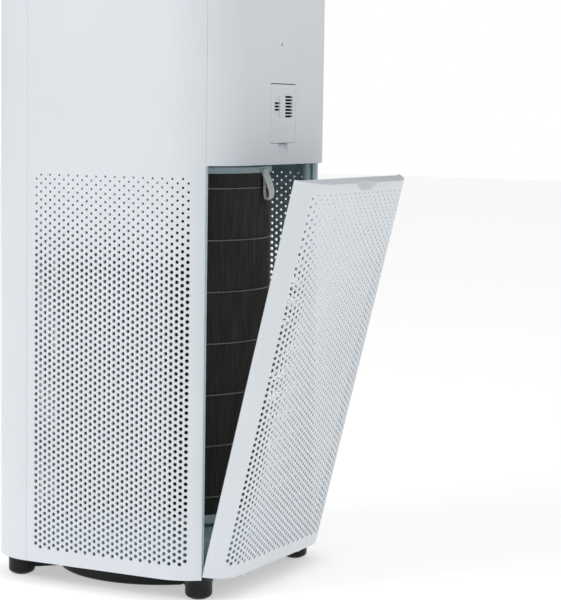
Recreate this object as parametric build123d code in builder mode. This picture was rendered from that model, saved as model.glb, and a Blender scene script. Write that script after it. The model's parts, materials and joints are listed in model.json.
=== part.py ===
"""Tower air purifier: perforated square tower with rounded corners, a tilt-out rear door over a
cylindrical filter, a mixed-flow fan above it and a round outlet grille on top.

Units are millimetres. Origin: centre of the footprint on the floor. +Z up, front face at -Y,
rear door at +Y. The door is modelled in its open position, tilted about its bottom hinge.
"""
from build123d import *
import os
from math import cos, radians, sin, sqrt

os.makedirs("parts", exist_ok=True)

# ------------------------------------------------------------------ driving dimensions
width = 275.0               # tower width and depth over the shells
height = 680.0              # overall height
corner_radius = 60.0        # vertical corners, outside
wall = 2.6                  # shell thickness
edge_round = 0.5            # rounding of exposed edges
shell_bottom = 22.0         # lower edge of the side panels above the floor
shell_top = 668.0           # upper edge of the shells, under the top frame
opening_top = 426.0         # upper edge of the filter opening, where the rear shell begins
seam_angle = 42.0           # where the side panels end, in degrees round the rear corners
seam_half_gap = 0.15        # half of the seam, in degrees of corner and in mm of flat

door_bottom = 22.5          # lower edge of the closed door
door_top = 424.0            # upper edge of the closed door
door_tilt = 13.6            # degrees that the door stands open
pivot_y = 129.0             # door hinge axis
pivot_z = 20.5
hinge_x = 62.0              # hinge centres, left and right
hinge_pin_radius = 1.6
running_gap = 0.05          # radial clearance of a running fit

filter_radius = 110.0
filter_cap_radius = 111.5
filter_core_radius = 70.0
filter_cap_bottom = 64.5
filter_media_bottom = 73.5
filter_media_top = 416.7
filter_top = 423.3

deck_bottom = 427.0         # fan deck, the floor of the fan chamber
deck_top = 430.0
inlet_radius = 78.0         # throat of the bellmouth
duct_radius = 107.5         # fan duct, inside
duct_wall = 3.0
duct_top = 645.0
rotor_radius = 103.0
rotor_middle = 480.0
cup_top = 578.0             # motor cup, upper face
motor_radius = 42.0

plate_thickness = 3.5       # base tray plate
plate_top = 26.0
pan_radius = 107.0          # round pan under the plate
pan_bottom = 2.5
pan_flat_y = 72.0           # rear chord of the pan, where the mains inlet faces
foot_offset = 105.0
foot_radius = 13.5

housing_half = 122.0        # base housing under the filter
housing_top = 61.0
seat_radius = 100.0

cover_half_width = 27.4     # particle sensor cover in the rear shell
cover_bottom = 447.7
cover_top = 506.1
cover_hinge_y = 136.0
cover_hinge_z = 504.9

display_z = 585.0           # round display in the front shell
display_radius = 30.0
button_y = -119.7           # power button on the top frame
button_radius = 8.0

half = width / 2
centre = half - corner_radius
inner_half = half - wall

# The door's pieces are drawn as if it were closed, on planes turned about its hinge axis.
door_pose = Pos(0, pivot_y, pivot_z) * Rot(-door_tilt, 0, 0) * Pos(0, -pivot_y, -pivot_z)


def on_door(plane):
    """A plane of the closed door, turned with the door to its open position."""
    return Plane(door_pose * plane.location)


# ------------------------------------------------------------------ shared outlines
def corner_point(radius, angle, side=1):
    """A point on a corner circle, at an angle from +X towards the rear (or front, side = -1)."""
    return (centre + radius * cos(radians(angle)), side * (centre + radius * sin(radians(angle))))


def flip(point):
    """The same point on the other side of the YZ plane."""
    return (-point[0], point[1])


def band_outline(start, thickness, side):
    """Plan of a face with part of both its corners: rear for side = 1, front for side = -1."""
    outer = corner_radius
    inner = corner_radius - thickness
    sweep_angle = 90 - start
    right = (centre, side * centre)
    left = (-centre, side * centre)
    with BuildSketch(Plane.XY) as outline:
        with BuildLine():
            CenterArc(right, outer, side * start, side * sweep_angle)
            Line((centre, side * half), (-centre, side * half))
            CenterArc(left, outer, side * 90, side * sweep_angle)
            Line(flip(corner_point(outer, start, side)), flip(corner_point(inner, start, side)))
            CenterArc(left, inner, side * 90, side * sweep_angle)
            Line((-centre, side * (half - thickness)), (centre, side * (half - thickness)))
            CenterArc(right, inner, side * start, side * sweep_angle)
            Line(corner_point(inner, start, side), corner_point(outer, start, side))
        make_face()
    return outline.sketch


def side_outline():
    """Plan of the right-hand side panel: the flat side and the first part of the rear corner."""
    end = seam_angle - seam_half_gap
    front = -centre + seam_half_gap
    inner = corner_radius - wall
    with BuildSketch(Plane.XY) as outline:
        with BuildLine():
            Line((inner_half, front), (half, front))
            Line((half, front), (half, centre))
            CenterArc((centre, centre), corner_radius, 0, end)
            Line(corner_point(corner_radius, end), corner_point(inner, end))
            CenterArc((centre, centre), inner, 0, end)
            Line((inner_half, centre), (inner_half, front))
        make_face()
    return outline.sketch


def sector(middle, inner, outer, start, size):
    """A piece of a ring, from one angle over a size in degrees."""
    cx, cy = middle
    ends = []
    for angle in (start, start + size):
        ends.append([(cx + r * cos(radians(angle)), cy + r * sin(radians(angle))) for r in (inner, outer)])
    with BuildSketch(Plane.XY) as outline:
        with BuildLine():
            CenterArc(middle, inner, start, size)
            Line(*ends[0])
            CenterArc(middle, outer, start, size)
            Line(*ends[1])
        make_face()
    return outline.sketch


def square_outline(half_size, mode=Mode.ADD):
    """A plan square that keeps the tower's corner centres."""
    RectangleRounded(2 * half_size, 2 * half_size, half_size - centre, mode=mode)


side_plan = side_outline()
front_plan = band_outline(seam_half_gap, wall, -1)
rear_plan = band_outline(seam_angle + seam_half_gap, wall, 1)

# ------------------------------------------------------------------ outer shells
with BuildPart() as side_panel_right:
    with BuildSketch(Plane.XY.offset(shell_bottom)):
        add(side_plan)
    extrude(amount=shell_top - shell_bottom)
side_panel_right.part.label = "side_panel_right"
export_step(side_panel_right.part, "parts/side_panel_right.step")

with BuildPart() as side_panel_left:
    with BuildSketch(Plane.XY.offset(shell_bottom)):
        add(side_plan)
        mirror(about=Plane.YZ, mode=Mode.REPLACE)
    extrude(amount=shell_top - shell_bottom)
side_panel_left.part.label = "side_panel_left"
export_step(side_panel_left.part, "parts/side_panel_left.step")

with BuildPart() as front_shell:
    with BuildSketch(Plane.XY.offset(shell_bottom)):
        add(front_plan)
    extrude(amount=shell_top - shell_bottom)
    # round window for the display
    with BuildSketch(Plane.XZ.offset(inner_half - 5)):
        with Locations((0, display_z)):
            Circle(display_radius + 0.2)
    extrude(amount=wall + 10, mode=Mode.SUBTRACT)
front_shell.part.label = "front_shell"
export_step(front_shell.part, "parts/front_shell.step")

cover_gap = 0.4
notch_half_width = 10.8
notch_bottom = 436.0
notch_depth = 4.4
sensor_port_x = 4.5
sensor_port_z = 545.6
with BuildPart() as rear_upper_shell:
    with BuildSketch(Plane.XY.offset(opening_top)):
        add(rear_plan)
    extrude(amount=shell_top - opening_top)
    seam_ends = rear_upper_shell.edges().filter_by(Axis.Z).sort_by(Axis.Y)[:4]
    fillet(rear_upper_shell.edges().filter_by(Axis.Z, reverse=True) + seam_ends, edge_round)
    # thicker pad behind the finger notch
    with BuildSketch(Plane.XY.offset(notch_bottom - 3)):
        with Locations((0, inner_half - 1.7)):
            Rectangle(2 * notch_half_width + 6, 4.0)
    extrude(amount=cover_bottom - cover_gap - notch_bottom + 3)
    # opening for the sensor cover
    with BuildSketch(Plane.XZ.offset(-half - 5)):
        with Locations((0, (cover_bottom + cover_top) / 2 + 0.2)):
            Rectangle(2 * (cover_half_width + cover_gap), cover_top - cover_bottom + 2 * cover_gap + 0.6)
    extrude(amount=20, mode=Mode.SUBTRACT)
    # ramped finger notch under the cover
    with BuildSketch(Plane.YZ.offset(-notch_half_width)):
        with BuildLine():
            Polyline(
                (half + 1, notch_bottom - 1),
                (half - notch_depth, cover_bottom - 0.3),
                (half + 1, cover_bottom - 0.3),
                close=True,
            )
        make_face()
    extrude(amount=2 * notch_half_width, mode=Mode.SUBTRACT)
    # blind holes that hold the cover's hinge stubs
    with BuildSketch(Plane.YZ.offset(-cover_half_width - 2.4)):
        with Locations((cover_hinge_y, cover_hinge_z)):
            Circle(0.9 + running_gap)
    extrude(amount=2 * (cover_half_width + 2.4), mode=Mode.SUBTRACT)
    # port of the humidity sensor
    with BuildSketch(Plane.XZ.offset(-half - 5)):
        with Locations((sensor_port_x, sensor_port_z)):
            Circle(1.6)
    extrude(amount=20, mode=Mode.SUBTRACT)
rear_upper_shell.part.label = "rear_upper_shell"
export_step(rear_upper_shell.part, "parts/rear_upper_shell.step")

frame_skin = 3.0
with BuildPart() as top_frame:
    # rounded cap
    with BuildSketch(Plane.XY.offset(shell_top + 0.5)):
        square_outline(half)
    extrude(amount=height - shell_top - 0.5)
    fillet(top_frame.edges().group_by(Axis.Z)[-1], 8.0)
    with BuildSketch(Plane.XY.offset(shell_top + 0.5)):
        square_outline(inner_half)
    extrude(amount=height - shell_top - 0.5 - frame_skin - 3.0, mode=Mode.SUBTRACT)
    with BuildSketch(Plane.XY.offset(height - frame_skin - 3.0)):
        square_outline(inner_half - 6.0)
    extrude(amount=3.0, mode=Mode.SUBTRACT)
    # lip that locates the shells
    with BuildSketch(Plane.XY.offset(shell_top - 9)):
        square_outline(inner_half - 0.4)
        square_outline(inner_half - 3.0, mode=Mode.SUBTRACT)
    extrude(amount=9 + height - shell_top - frame_skin - 2.0)
    # collar that meets the fan duct
    with BuildSketch(Plane.XY.offset(duct_top)):
        Circle(duct_radius + duct_wall)
    extrude(amount=height - duct_top - 1.0)
    with BuildSketch(Plane.XY.offset(duct_top)):
        Circle(duct_radius)
    extrude(amount=height - duct_top, mode=Mode.SUBTRACT)
    # ledge that carries the grille
    with BuildSketch(Plane.XY.offset(667.0)):
        Circle(duct_radius)
        Circle(101.5, mode=Mode.SUBTRACT)
    extrude(amount=3.0)
    # pillars for the button board, and the button's hole
    with BuildSketch(Plane.XY.offset(656.6)):
        with Locations((-15, button_y), (15, button_y)):
            Circle(2.5)
    extrude(amount=height - frame_skin - 656.6 + 0.5)
    with BuildSketch(Plane.XY.offset(height - 10)):
        with Locations((0, button_y)):
            Circle(button_radius + 0.3)
    extrude(amount=12, mode=Mode.SUBTRACT)
top_frame.part.label = "top_frame"
export_step(top_frame.part, "parts/top_frame.step")

grille_radius = 107.2
grille_bottom = 670.2
grille_thickness = 4.0
grille_rings = range(34, 106, 8)
spoke_count = 12
with BuildPart() as top_grille:
    with BuildSketch(Plane.XY.offset(grille_bottom)):
        Circle(26)
        with PolarLocations(65, spoke_count):
            Rectangle(82, 2.0)
    extrude(amount=grille_thickness)
    for ring_radius in grille_rings:
        with BuildSketch(Plane.XY.offset(grille_bottom + 0.5)):
            Circle(ring_radius + 0.9)
            Circle(ring_radius - 0.9, mode=Mode.SUBTRACT)
        extrude(amount=grille_thickness - 1.0)
    with BuildSketch(Plane.XY.offset(grille_bottom)):
        Circle(grille_radius)
        Circle(grille_radius - 3.5, mode=Mode.SUBTRACT)
    extrude(amount=grille_thickness)
top_grille.part.label = "top_grille"
export_step(top_grille.part, "parts/top_grille.step")

# ------------------------------------------------------------------ power button and its board
frame_underside = height - frame_skin
button_board_top = 656.6
with BuildPart() as power_button:
    with BuildSketch(Plane.XY.offset(frame_underside - 3.4)):
        with Locations((0, button_y)):
            Circle(button_radius + 1.0)
    extrude(amount=3.0)
    with BuildSketch(Plane.XY.offset(frame_underside - 0.4)):
        with Locations((0, button_y)):
            Circle(button_radius)
    extrude(amount=frame_skin + 1.2)
    fillet(power_button.edges().group_by(Axis.Z)[-1], 0.7)
    with BuildSketch(Plane.XY.offset(button_board_top + 5.3)):
        with Locations((0, button_y)):
            Circle(2.5)
    extrude(amount=frame_underside - 3.4 - button_board_top - 5.3)
power_button.part.label = "power_button"
export_step(power_button.part, "parts/power_button.step")

with BuildPart() as button_board:
    with BuildSketch(Plane.XY.offset(button_board_top - 1.6)):
        with Locations((0, button_y)):
            Rectangle(38, 14)
    extrude(amount=1.6)
    with BuildSketch(Plane.XY.offset(button_board_top)):
        with Locations((0, button_y)):
            Rectangle(6, 6)
    extrude(amount=3.9)
button_board.part.label = "button_board"
export_step(button_board.part, "parts/button_board.step")

# ------------------------------------------------------------------ front display
with BuildPart() as display_lens:
    with BuildSketch(Plane.XZ.offset(inner_half + 0.2)):
        with Locations((0, display_z)):
            Circle(display_radius)
    extrude(amount=wall - 0.4)
display_lens.part.label = "display_lens"
export_step(display_lens.part, "parts/display_lens.step")

with BuildPart() as display_holder:
    with BuildSketch(Plane.XZ.offset(inner_half - 8.0)):
        with Locations((0, display_z)):
            Circle(display_radius + 5.0)
            Circle(display_radius - 1.5, mode=Mode.SUBTRACT)
    extrude(amount=7.8)
display_holder.part.label = "display_holder"
export_step(display_holder.part, "parts/display_holder.step")

with BuildPart() as display_board:
    with BuildSketch(Plane.XZ.offset(inner_half - 9.8)):
        with Locations((0, display_z)):
            Rectangle(64, 62)
    extrude(amount=1.6)
    with BuildSketch(Plane.XZ.offset(inner_half - 8.2)):
        with Locations((0, display_z)):
            Circle(20)
    extrude(amount=3.0)
display_board.part.label = "display_board"
export_step(display_board.part, "parts/display_board.step")

# ------------------------------------------------------------------ base
screw_head_radius = 3.2
screw_shank_radius = 1.7
screw_hole_radius = 1.9
pilot_radius = 1.75
base_screw_points = [(112, 60), (112, -60), (-112, 60), (-112, -60)]
foot_points = [(foot_offset, foot_offset), (foot_offset, -foot_offset),
               (-foot_offset, foot_offset), (-foot_offset, -foot_offset)]
plate_bottom = plate_top - plate_thickness
pad_radius = 8.5
pad_height = 3.0
hinge_ear_inner = 4.4       # from the hinge's centre to the inner face of each ear
hinge_ear_outer = 10.0


def pan_outline(radius, flat_y):
    """A disc with its rear cut off by a chord."""
    Circle(radius)
    with Locations((0, flat_y + radius)):
        Rectangle(3 * radius, 2 * radius, mode=Mode.SUBTRACT)


with BuildPart() as base_tray:
    with BuildSketch(Plane.XY.offset(pan_bottom)):
        pan_outline(pan_radius, pan_flat_y)
    extrude(amount=plate_bottom - pan_bottom + 0.5)
    fillet(base_tray.edges().group_by(Axis.Z)[0], 4.0)
    with BuildSketch(Plane.XY.offset(plate_bottom)):
        square_outline(inner_half - 0.7)
        # notches that let the door's hooks swing
        with Locations((-hinge_x, inner_half), (hinge_x, inner_half)):
            Rectangle(2 * hinge_ear_inner, 26, mode=Mode.SUBTRACT)
    extrude(amount=plate_thickness)
    # ribs from the pan out to the feet
    with BuildSketch(Plane.XY.offset(7.0)):
        with PolarLocations(122, 4, start_angle=45):
            Rectangle(46, 15)
    extrude(amount=plate_bottom - 6.5)
    # feet: round, with a soft lower edge and a flare into the plate
    for foot_x, foot_y in foot_points:
        with BuildSketch(Plane((foot_x, foot_y, 0), x_dir=(1, 0, 0), z_dir=(0, -1, 0))):
            with BuildLine():
                Polyline((0, plate_bottom + 0.5), (0, 1.0), (foot_radius - 4.5, 1.0))
                RadiusArc((foot_radius - 4.5, 1.0), (foot_radius, 5.5), -4.5)
                Line((foot_radius, 5.5), (foot_radius, 14.0))
                RadiusArc((foot_radius, 14.0), (foot_radius + 4.0, plate_bottom), 12.0)
                Polyline((foot_radius + 4.0, plate_bottom), (foot_radius + 4.0, plate_bottom + 0.5),
                         (0, plate_bottom + 0.5))
            make_face()
        revolve(axis=Axis((foot_x, foot_y, 0), (0, 0, 1)))
    # hollow of the pan, open through the plate
    with BuildSketch(Plane.XY.offset(pan_bottom + wall)):
        pan_outline(pan_radius - 6.0, pan_flat_y - wall)
    extrude(amount=plate_top - pan_bottom, mode=Mode.SUBTRACT)
    # pockets of the foot pads
    with BuildSketch(Plane.XY.offset(-1)):
        with Locations(*foot_points):
            Circle(pad_radius + 0.05)
    extrude(amount=1 + pad_height, mode=Mode.SUBTRACT)
    # screw holes up into the base housing
    with BuildSketch(Plane.XY.offset(plate_bottom - 1)):
        with Locations(*base_screw_points):
            Circle(screw_hole_radius)
    extrude(amount=plate_thickness + 2, mode=Mode.SUBTRACT)
    with BuildSketch(Plane.XY.offset(plate_bottom - 1)):
        with Locations(*base_screw_points):
            Circle(screw_head_radius + 0.2)
    extrude(amount=3.0, mode=Mode.SUBTRACT)
    # ears of the door hinges, under the plate
    for ear_x in (hinge_x, -hinge_x):
        ear_centre = (hinge_ear_inner + hinge_ear_outer) / 2
        with BuildSketch(Plane.XY.offset(pivot_z - 3.0)):
            with Locations((ear_x - ear_centre, pivot_y), (ear_x + ear_centre, pivot_y)):
                Rectangle(hinge_ear_outer - hinge_ear_inner, 7.0)
        extrude(amount=plate_bottom - pivot_z + 3.5)
    with BuildSketch(Plane.YZ.offset(-hinge_x - 20)):
        with Locations((pivot_y, pivot_z)):
            Circle(hinge_pin_radius + running_gap)
    extrude(amount=2 * hinge_x + 40, mode=Mode.SUBTRACT)
    # window for the mains inlet in the pan's rear wall
    with BuildSketch(Plane.XZ.offset(-pan_flat_y - 5)):
        with Locations((0, 13.0)):
            Rectangle(24.4, 14.4)
    extrude(amount=15, mode=Mode.SUBTRACT)
base_tray.part.label = "base_tray"
export_step(base_tray.part, "parts/base_tray.step")

foot_names = ("rear_right", "front_right", "rear_left", "front_left")
for foot_name, foot_point in zip(foot_names, foot_points):
    with BuildPart() as foot_pad:
        with BuildSketch():
            with Locations(foot_point):
                Circle(pad_radius)
        extrude(amount=pad_height)
        chamfer(foot_pad.edges().group_by(Axis.Z)[0], 0.6)
    foot_pad.part.label = f"foot_pad_{foot_name}"
    export_step(foot_pad.part, f"parts/foot_pad_{foot_name}.step")

with BuildPart() as base_housing:
    with BuildSketch(Plane.XY.offset(plate_top)):
        square_outline(housing_half)
    extrude(amount=housing_top - plate_top)
    fillet(base_housing.edges().group_by(Axis.Z)[-1], 3.0)
    with BuildSketch(Plane.XY.offset(plate_top)):
        square_outline(housing_half - wall)
    extrude(amount=housing_top - plate_top - wall, mode=Mode.SUBTRACT)
    # screw bosses
    with BuildSketch(Plane.XY.offset(plate_top)):
        with Locations(*base_screw_points):
            Circle(5.0)
    extrude(amount=housing_top - plate_top - 1.0)
    with BuildSketch(Plane.XY.offset(plate_top - 1)):
        with Locations(*base_screw_points):
            Circle(pilot_radius)
    extrude(amount=19, mode=Mode.SUBTRACT)
    # raised ring that centres the filter
    with BuildSketch(Plane.XY.offset(housing_top - 0.5)):
        Circle(seat_radius)
        Circle(seat_radius - 8.0, mode=Mode.SUBTRACT)
    extrude(amount=filter_cap_bottom - housing_top + 0.5)
base_housing.part.label = "base_housing"
export_step(base_housing.part, "parts/base_housing.step")

with BuildPart() as base_screws:
    with BuildSketch(Plane.XY.offset(plate_bottom)):
        with Locations(*base_screw_points):
            Circle(screw_head_radius)
    extrude(amount=2.0)
    with BuildSketch(Plane.XY.offset(plate_bottom + 2.0)):
        with Locations(*base_screw_points):
            Circle(screw_shank_radius)
    extrude(amount=14.0)
base_screws.part.label = "base_screws"
export_step(base_screws.part, "parts/base_screws.step")

# ------------------------------------------------------------------ mains inlet and power supply
inlet_front = 58.0
inlet_z = 13.0
inlet_pin_points = [(-4.3, inlet_z), (4.3, inlet_z)]
with BuildPart() as power_inlet:
    with BuildSketch(Plane.XZ.offset(-inlet_front)):
        with Locations((0, inlet_z)):
            RectangleRounded(24.0, 14.0, 2.0)
    extrude(amount=-(pan_flat_y - inlet_front))
    with BuildSketch(Plane.XZ.offset(-pan_flat_y - 1)):
        with Locations((0, inlet_z)):
            RectangleRounded(19.0, 10.0, 4.5)
    extrude(amount=pan_flat_y - inlet_front - 2.0, mode=Mode.SUBTRACT)
    with BuildSketch(Plane.XZ.offset(-pan_flat_y - 1)):
        with Locations(*inlet_pin_points):
            Circle(1.2)
    extrude(amount=pan_flat_y - inlet_front + 2.0, mode=Mode.SUBTRACT)
power_inlet.part.label = "power_inlet"
export_step(power_inlet.part, "parts/power_inlet.step")

with BuildPart() as inlet_pins:
    with BuildSketch(Plane.XZ.offset(-inlet_front + 6.0)):
        with Locations(*inlet_pin_points):
            Circle(1.2)
    extrude(amount=-(pan_flat_y - inlet_front + 2.0))
inlet_pins.part.label = "inlet_pins"
export_step(inlet_pins.part, "parts/inlet_pins.step")

supply_bottom = 8.0
with BuildPart() as power_supply:
    with BuildSketch(Plane.XY.offset(supply_bottom)):
        with Locations((-10, -20)):
            Rectangle(110, 80)
    extrude(amount=1.6)
    with BuildSketch(Plane.XY.offset(supply_bottom + 1.6)):
        with Locations((-10, -30)):
            Rectangle(28, 24)
        with Locations((-48, -2), (-48, -22)):
            Circle(8)
        with Locations((28, 0)):
            Rectangle(16, 22)
    extrude(amount=18.0)
    # stand-offs down to the pan
    with BuildSketch(Plane.XY.offset(pan_bottom + wall)):
        with Locations((-60, 15), (40, 15), (-60, -55), (40, -55)):
            Circle(3)
    extrude(amount=supply_bottom - pan_bottom - wall + 0.5)
power_supply.part.label = "power_supply"
export_step(power_supply.part, "parts/power_supply.step")

# ------------------------------------------------------------------ chassis
post_inner = 53.4
post_outer = corner_radius - wall - 0.3
post_start = 28.0
post_size = 16.8
boss_angle = 36.75
boss_offset = 49.5
boss_radius = 4.5
boss_x, boss_y = corner_point(boss_offset, boss_angle)
post_places = {
    "rear_right": (1, 1, post_start),
    "front_right": (1, -1, -post_start - post_size),
    "rear_left": (-1, 1, 180 - post_start - post_size),
    "front_left": (-1, -1, 180 + post_start),
}
boss_points = [(sx * boss_x, sy * boss_y) for sx, sy, _ in post_places.values()]
for post_name, (sx, sy, start) in post_places.items():
    post_plan = sector((sx * centre, sy * centre), post_inner, post_outer, start, post_size)
    with BuildPart() as corner_post:
        with BuildSketch(Plane.XY.offset(plate_top)):
            add(post_plan)
            with Locations((sx * boss_x, sy * boss_y)):
                Circle(boss_radius)
        extrude(amount=deck_bottom - plate_top)
        with BuildSketch(Plane.XY.offset(deck_bottom - 16)):
            with Locations((sx * boss_x, sy * boss_y)):
                Circle(pilot_radius)
        extrude(amount=17, mode=Mode.SUBTRACT)
    corner_post.part.label = f"corner_post_{post_name}"
    export_step(corner_post.part, f"parts/corner_post_{post_name}.step")

duct_screw_circle = 115.0
duct_screw_angle = 30.0
with BuildPart() as fan_deck:
    with BuildSketch(Plane.XY.offset(deck_bottom)):
        square_outline(inner_half - 1.6)
        Circle(inlet_radius + 11.0, mode=Mode.SUBTRACT)
        with Locations(*boss_points):
            Circle(screw_hole_radius, mode=Mode.SUBTRACT)
        with PolarLocations(duct_screw_circle, 6, start_angle=duct_screw_angle):
            Circle(1.45, mode=Mode.SUBTRACT)
    extrude(amount=deck_top - deck_bottom)
fan_deck.part.label = "fan_deck"
export_step(fan_deck.part, "parts/fan_deck.step")

with BuildPart() as deck_screws:
    with BuildSketch(Plane.XY.offset(deck_top - 15)):
        with Locations(*boss_points):
            Circle(screw_shank_radius)
    extrude(amount=15)
    with BuildSketch(Plane.XY.offset(deck_top)):
        with Locations(*boss_points):
            Circle(screw_head_radius)
    extrude(amount=2.0)
deck_screws.part.label = "deck_screws"
export_step(deck_screws.part, "parts/deck_screws.step")

# ------------------------------------------------------------------ filter
with BuildPart() as filter_bottom_cap:
    with BuildSketch(Plane.XY.offset(filter_cap_bottom)):
        Circle(filter_cap_radius)
    extrude(amount=filter_media_bottom - filter_cap_bottom)
    fillet(filter_bottom_cap.edges(), 1.0)
filter_bottom_cap.part.label = "filter_bottom_cap"
export_step(filter_bottom_cap.part, "parts/filter_bottom_cap.step")

media_inner = 84.0
with BuildPart() as filter_media:
    with BuildSketch(Plane.XY.offset(filter_media_bottom)):
        Circle(filter_radius)
        Circle(media_inner, mode=Mode.SUBTRACT)
    extrude(amount=filter_media_top - filter_media_bottom)
filter_media.part.label = "filter_media"
export_step(filter_media.part, "parts/filter_media.step")

with BuildPart() as filter_carbon:
    with BuildSketch(Plane.XY.offset(filter_media_bottom)):
        Circle(media_inner)
        Circle(filter_core_radius, mode=Mode.SUBTRACT)
    extrude(amount=filter_media_top - filter_media_bottom)
filter_carbon.part.label = "filter_carbon"
export_step(filter_carbon.part, "parts/filter_carbon.step")

with BuildPart() as filter_top_cap:
    with BuildSketch(Plane.XY.offset(filter_media_top)):
        Circle(filter_cap_radius)
        Circle(filter_core_radius, mode=Mode.SUBTRACT)
    extrude(amount=filter_top - filter_media_top)
    fillet(filter_top_cap.edges().filter_by(GeomType.CIRCLE).sort_by(SortBy.LENGTH)[-2:], 1.0)
filter_top_cap.part.label = "filter_top_cap"
export_step(filter_top_cap.part, "parts/filter_top_cap.step")

with BuildPart() as seal_ring:
    with BuildSketch(Plane.XY.offset(filter_top)):
        Circle(102)
        Circle(91, mode=Mode.SUBTRACT)
    extrude(amount=deck_bottom - filter_top)
seal_ring.part.label = "seal_ring"
export_step(seal_ring.part, "parts/seal_ring.step")

tab_x = -9.0
tab_width = 13.0
tab_height = 27.0
with BuildPart() as filter_tab:
    with BuildSketch(Plane.XY.offset(filter_media_top - tab_height)):
        with Locations((tab_x, filter_cap_radius + 4.6)):
            Rectangle(tab_width, 8.4)
    extrude(amount=tab_height + 3.0)
filter_tab.part.label = "filter_tab"
export_step(filter_tab.part, "parts/filter_tab.step")

# ------------------------------------------------------------------ fan
with BuildPart() as inlet_bellmouth:
    with BuildSketch(Plane.XZ):
        with BuildLine():
            Polyline((inlet_radius + 10, deck_top), (104, deck_top), (104, deck_top + 2.4),
                     (inlet_radius + 10, deck_top + 2.4))
            RadiusArc((inlet_radius + 10, deck_top + 2.4), (inlet_radius + 2.4, deck_top + 10), 7.6)
            Polyline((inlet_radius + 2.4, deck_top + 10), (inlet_radius + 2.4, deck_top + 21),
                     (inlet_radius, deck_top + 21), (inlet_radius, deck_top + 10))
            RadiusArc((inlet_radius, deck_top + 10), (inlet_radius + 10, deck_top), -10)
        make_face()
    revolve(axis=Axis.Z)
inlet_bellmouth.part.label = "inlet_bellmouth"
export_step(inlet_bellmouth.part, "parts/inlet_bellmouth.step")

shaft_radius = 4.0
hub_radius = 40.0
blade_count = 9
with BuildPart(Plane.XY.offset(rotor_middle)) as fan_rotor:
    with PolarLocations((hub_radius + rotor_radius) / 2, blade_count):
        Box(rotor_radius - hub_radius + 8, 2.6, 46, rotation=(52, 0, 0))
    with BuildSketch(Plane.XY.offset(rotor_middle - 30)):
        Circle(rotor_radius)
    extrude(amount=60, mode=Mode.INTERSECT)
    with BuildSketch(Plane.XY.offset(rotor_middle - 22)):
        Circle(hub_radius)
    extrude(amount=46)
    fillet(fan_rotor.edges().group_by(Axis.Z)[0], 6.0)
    with BuildSketch(Plane.XY.offset(rotor_middle - 30)):
        Circle(shaft_radius)
    extrude(amount=60, mode=Mode.SUBTRACT)
fan_rotor.part.label = "fan_rotor"
export_step(fan_rotor.part, "parts/fan_rotor.step")

motor_bottom = 524.0
motor_top = cup_top - 3.0
with BuildPart() as fan_shaft:
    with BuildSketch(Plane.XY.offset(rotor_middle - 20)):
        Circle(shaft_radius)
    extrude(amount=motor_bottom - rotor_middle + 50)
fan_shaft.part.label = "fan_shaft"
export_step(fan_shaft.part, "parts/fan_shaft.step")

motor_screw_points = [(24, 0), (-24, 0), (0, 24), (0, -24)]
with BuildPart() as fan_motor:
    with BuildSketch(Plane.XY.offset(motor_bottom)):
        Circle(motor_radius)
    extrude(amount=motor_top - motor_bottom)
    fillet(fan_motor.edges().group_by(Axis.Z)[0], 4.0)
    with BuildSketch(Plane.XY.offset(motor_bottom - 6)):
        Circle(10)
    extrude(amount=6.5)
    with BuildSketch(Plane.XY.offset(motor_bottom - 7)):
        Circle(shaft_radius + running_gap)
    extrude(amount=40, mode=Mode.SUBTRACT)
    with BuildSketch(Plane.XY.offset(motor_top - 8)):
        with Locations(*motor_screw_points):
            Circle(pilot_radius)
    extrude(amount=9, mode=Mode.SUBTRACT)
fan_motor.part.label = "fan_motor"
export_step(fan_motor.part, "parts/fan_motor.step")

with BuildPart() as motor_screws:
    with BuildSketch(Plane.XY.offset(cup_top - 10)):
        with Locations(*motor_screw_points):
            Circle(screw_shank_radius)
    extrude(amount=10)
    with BuildSketch(Plane.XY.offset(cup_top)):
        with Locations(*motor_screw_points):
            Circle(screw_head_radius)
    extrude(amount=2.0)
motor_screws.part.label = "motor_screws"
export_step(motor_screws.part, "parts/motor_screws.step")

vane_count = 8
cup_bottom = 530.0
with BuildPart() as fan_duct:
    # guide vanes between the duct and the motor cup
    with PolarLocations((motor_radius + 2 + duct_radius) / 2, vane_count):
        with Locations((0, 0, cup_top - 22)):
            Box(duct_radius - motor_radius, 2.4, 36, rotation=(-24, 0, 0))
    with BuildSketch(Plane.XY.offset(cup_bottom)):
        Circle(duct_radius + 1.0)
    extrude(amount=80, mode=Mode.INTERSECT)
    with BuildSketch(Plane.XY.offset(deck_top)):
        Circle(duct_radius + duct_wall)
        Circle(duct_radius, mode=Mode.SUBTRACT)
    extrude(amount=duct_top - deck_top)
    # motor cup
    with BuildSketch(Plane.XY.offset(cup_bottom)):
        Circle(motor_radius + 4.0)
    extrude(amount=cup_top - cup_bottom)
    with BuildSketch(Plane.XY.offset(cup_bottom)):
        Circle(motor_radius + 0.3)
    extrude(amount=cup_top - 3.0 - cup_bottom, mode=Mode.SUBTRACT)
    with BuildSketch(Plane.XY.offset(cup_top - 5)):
        with Locations(*motor_screw_points):
            Circle(screw_hole_radius)
    extrude(amount=6, mode=Mode.SUBTRACT)
    # flange on the fan deck
    with BuildSketch(Plane.XY.offset(deck_top)):
        Circle(duct_radius + duct_wall)
        with PolarLocations(duct_screw_circle, 6, start_angle=duct_screw_angle):
            Circle(5.5)
        Circle(duct_radius, mode=Mode.SUBTRACT)
        with PolarLocations(duct_screw_circle, 6, start_angle=duct_screw_angle):
            Circle(1.6, mode=Mode.SUBTRACT)
    extrude(amount=3.0)
fan_duct.part.label = "fan_duct"
export_step(fan_duct.part, "parts/fan_duct.step")

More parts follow.
